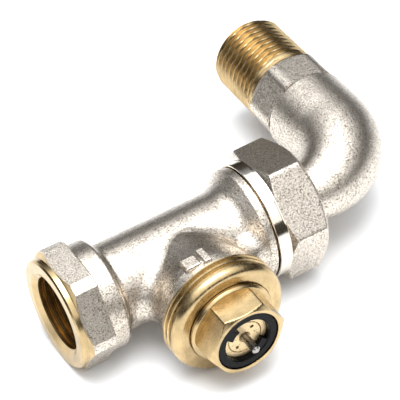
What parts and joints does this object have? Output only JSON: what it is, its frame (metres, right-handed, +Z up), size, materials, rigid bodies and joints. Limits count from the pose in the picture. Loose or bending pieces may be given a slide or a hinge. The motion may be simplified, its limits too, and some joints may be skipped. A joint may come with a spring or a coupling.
{
  "type": "thermostatic radiator valve",
  "caption": "Half-inch thermostatic radiator valve body with a side bonnet, sprung push pin and presetting ring, and a union nut holding a bent tail.",
  "frame": {"origin": "centre of the inlet face, on the pipe axis", "axes": "+X along the pipe axis from the inlet to the union, bonnet and push pin along -Y, outlet thread along +Y, +Z up as the valve lies with both level"},
  "size_m": [0.0996, 0.0912, 0.0334],
  "materials": {
    "nickel_plate": "satin nickel plate over a fine cast skin; machined faces bare brass",
    "machined_brass": "turned, bright",
    "stainless_steel": "ground",
    "black_plastic": "moulded, semi-gloss",
    "white_plastic": "moulded, matt",
    "rubber": "moulded rubber",
    "fibre": "pressed fibre sheet"
  },
  "bodies": {
    "valve": {"valve_body": "nickel_plate", "union_gasket": "fibre", "headwork_bush": "machined_brass", "bush_o_ring": "rubber"},
    "dial": {"presetting_ring": "black_plastic", "spindle_guide": "machined_brass", "guide_o_ring": "rubber", "guide_clip": "stainless_steel", "gland_nut": "machined_brass", "gland_o_ring": "rubber", "gland_washer": "white_plastic", "throttle_sleeve": "white_plastic", "spring_clip": "stainless_steel", "spring_washer": "stainless_steel", "return_spring": "stainless_steel"},
    "stem": {"gland_pin": "stainless_steel", "spindle": "stainless_steel", "spring_cup": "stainless_steel", "spindle_clip": "stainless_steel", "valve_plug": "machined_brass", "seat_washer": "rubber", "plug_nut": "machined_brass"},
    "tail": {"tailpiece_elbow": "nickel_plate", "split_ring": "machined_brass", "tail_o_ring": "rubber"},
    "nut": {"union_nut": "nickel_plate"}
  },
  "joints": [
    {"name": "presetting_turn", "type": "hinge", "parent": "valve", "child": "dial", "pos_m": [0.033, 0, 0], "axis": [0, -1, 0], "range_deg": [0, 300]},
    {"name": "stem_press", "type": "slide", "parent": "dial", "child": "stem", "axis": [0, 1, 0], "range_m": [0, 0.0024], "stiffness_N_per_m": 8000, "springref_m": -0.004, "deforming": ["return_spring"]},
    {"name": "tail_swivel", "type": "hinge", "parent": "valve", "child": "tail", "pos_m": [0.06, 0, 0], "axis": [1, 0, 0], "continuous": true},
    {"name": "nut_spin", "type": "hinge", "parent": "tail", "child": "nut", "pos_m": [0.06, 0, 0], "axis": [1, 0, 0], "continuous": true}
  ]
}
